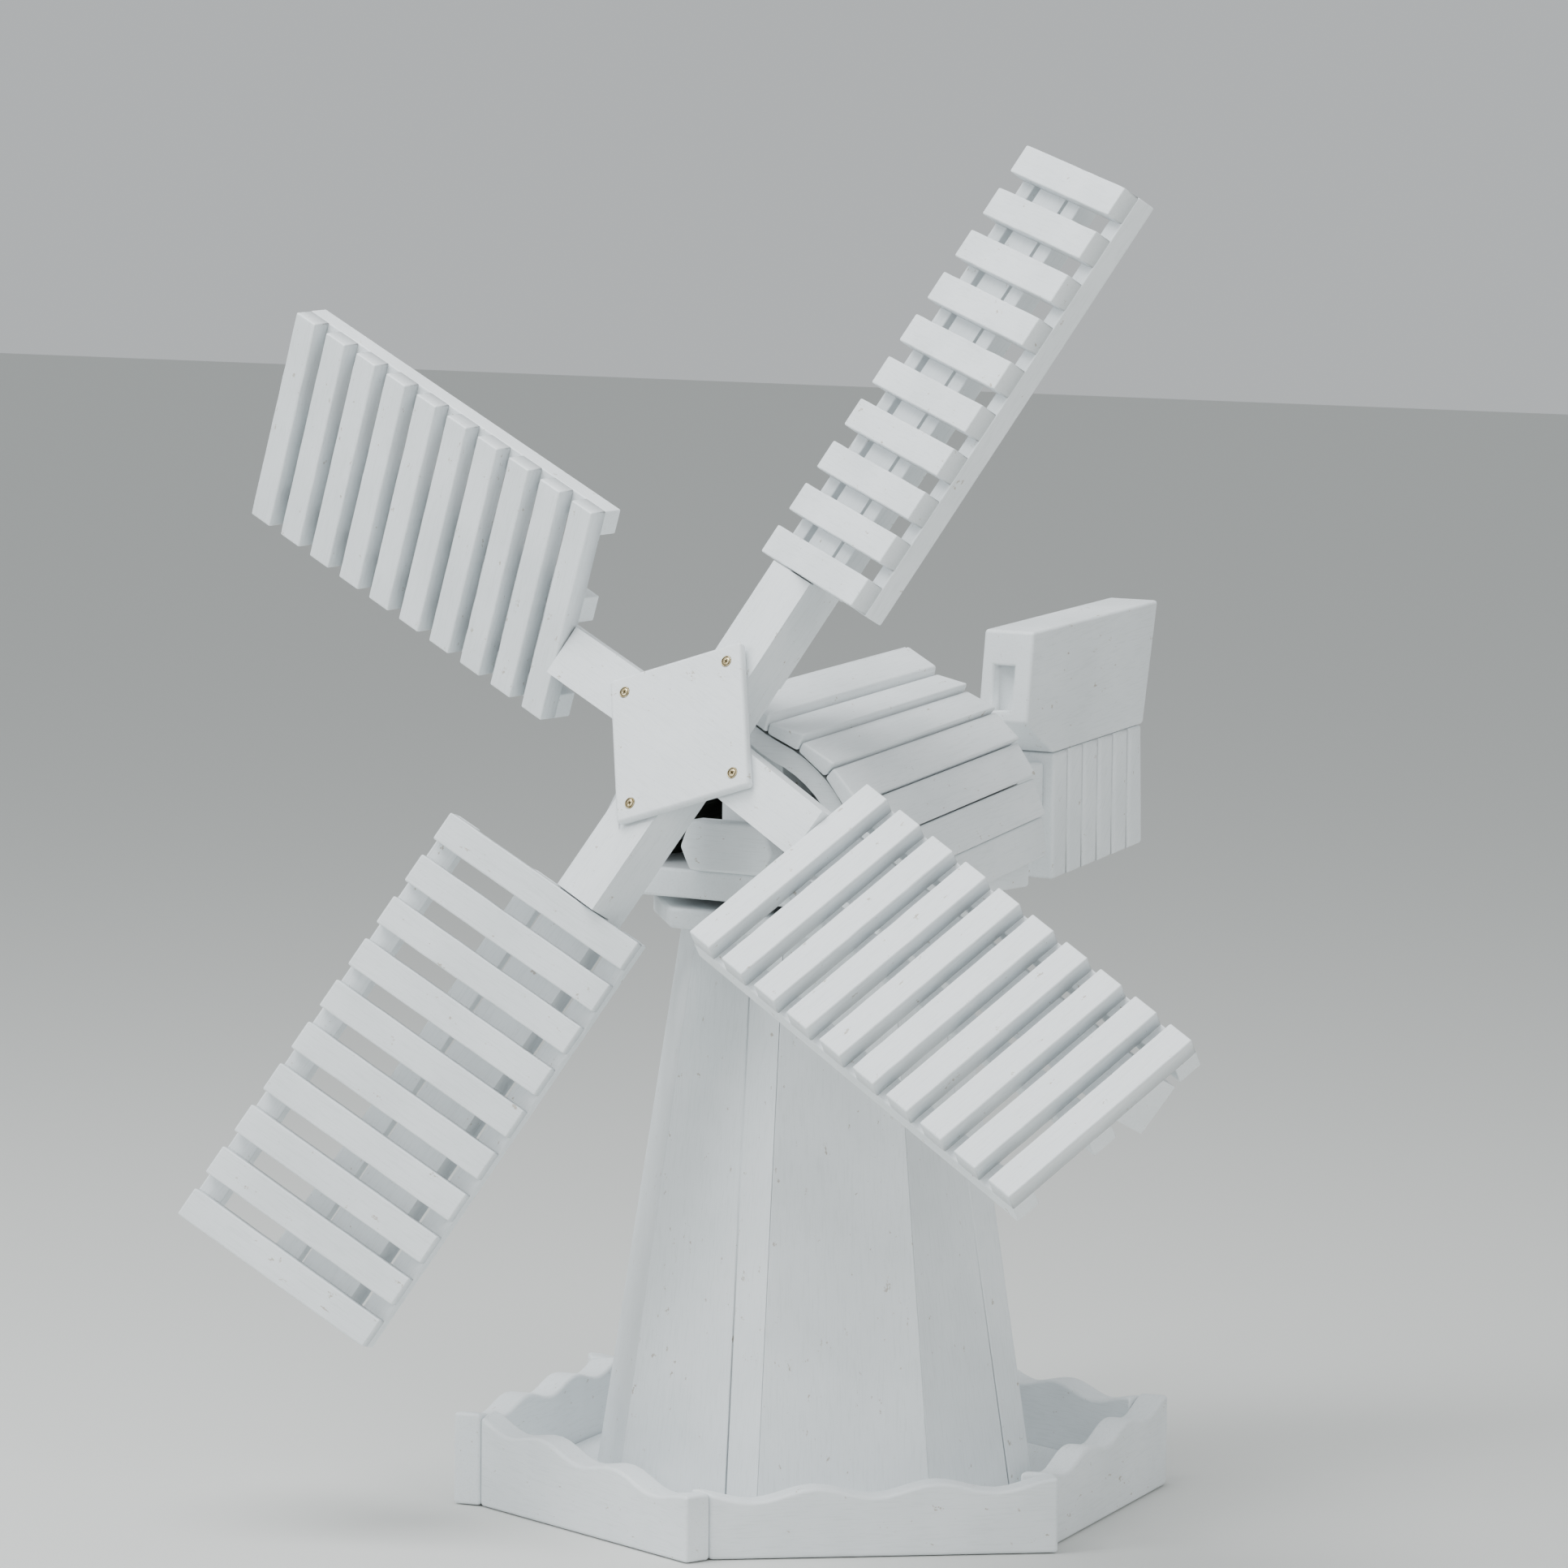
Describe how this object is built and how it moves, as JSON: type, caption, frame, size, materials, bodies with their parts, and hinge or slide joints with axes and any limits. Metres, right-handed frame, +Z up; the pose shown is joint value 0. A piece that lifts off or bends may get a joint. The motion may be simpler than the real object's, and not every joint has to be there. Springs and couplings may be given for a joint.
{
  "type": "garden windmill",
  "caption": "Painted wooden garden windmill: hexagonal planter base, octagonal tapered tower, turning arched cap with a tail vane, and a rotor of slatted sails.",
  "frame": {"origin": "on the ground, at the middle of the planter floor's underside, on the tower's axis", "axes": "+Z up; the rotor faces -Y and the tail vane points to +Y at rest"},
  "size_m": [0.8632, 0.7545, 0.9306],
  "materials": {
    "white_paint": "white paint over wood, satin",
    "brass": "dulled brass",
    "steel": "plain steel"
  },
  "bodies": {
    "base": {"planter_board_1": "white_paint", "planter_board_2": "white_paint", "planter_board_3": "white_paint", "planter_board_4": "white_paint", "planter_board_5": "white_paint", "planter_board_6": "white_paint", "planter_floor": "white_paint", "tower_collar": "white_paint", "tower_stave_1": "white_paint", "tower_stave_2": "white_paint", "tower_stave_3": "white_paint", "tower_stave_4": "white_paint", "tower_stave_5": "white_paint", "tower_stave_6": "white_paint", "tower_stave_7": "white_paint", "tower_stave_8": "white_paint", "yaw_pivot": "steel"},
    "cap": {"bearing_block": "white_paint", "cap_base": "white_paint", "front_arch": "white_paint", "front_beam": "white_paint", "rear_gable": "white_paint", "roof_slat_left_1": "white_paint", "roof_slat_left_2": "white_paint", "roof_slat_left_3": "white_paint", "roof_slat_left_4": "white_paint", "roof_slat_left_5": "white_paint", "roof_slat_left_6": "white_paint", "roof_slat_left_7": "white_paint", "roof_slat_right_1": "white_paint", "roof_slat_right_2": "white_paint", "roof_slat_right_3": "white_paint", "roof_slat_right_4": "white_paint", "roof_slat_right_5": "white_paint", "roof_slat_right_6": "white_paint", "roof_slat_right_7": "white_paint", "tail_boom": "white_paint", "tail_box": "white_paint", "tail_skirt": "white_paint"},
    "rotor": {"hub_plate": "white_paint", "hub_screw_1": "brass", "hub_screw_2": "brass", "hub_screw_3": "brass", "hub_screw_4": "brass", "rotor_shaft": "steel", "sail_a_lower_grid": "white_paint", "sail_a_lower_narrow_rail": "white_paint", "sail_a_lower_wide_rail": "white_paint", "sail_a_upper_grid": "white_paint", "sail_a_upper_narrow_rail": "white_paint", "sail_a_upper_wide_rail": "white_paint", "sail_b_lower_grid": "white_paint", "sail_b_lower_narrow_rail": "white_paint", "sail_b_lower_wide_rail": "white_paint", "sail_b_upper_grid": "white_paint", "sail_b_upper_narrow_rail": "white_paint", "sail_b_upper_wide_rail": "white_paint", "shaft_nut": "steel", "stock_a": "white_paint", "stock_b": "white_paint"}
  },
  "joints": [
    {"name": "cap_yaw", "type": "hinge", "parent": "base", "child": "cap", "pos_m": [0, 0, 0.431], "axis": [0, 0, 1], "continuous": true},
    {"name": "rotor_spin", "type": "hinge", "parent": "cap", "child": "rotor", "pos_m": [0, -0.143, 0.5306], "axis": [0, -0.9252, 0.3795], "continuous": true}
  ]
}
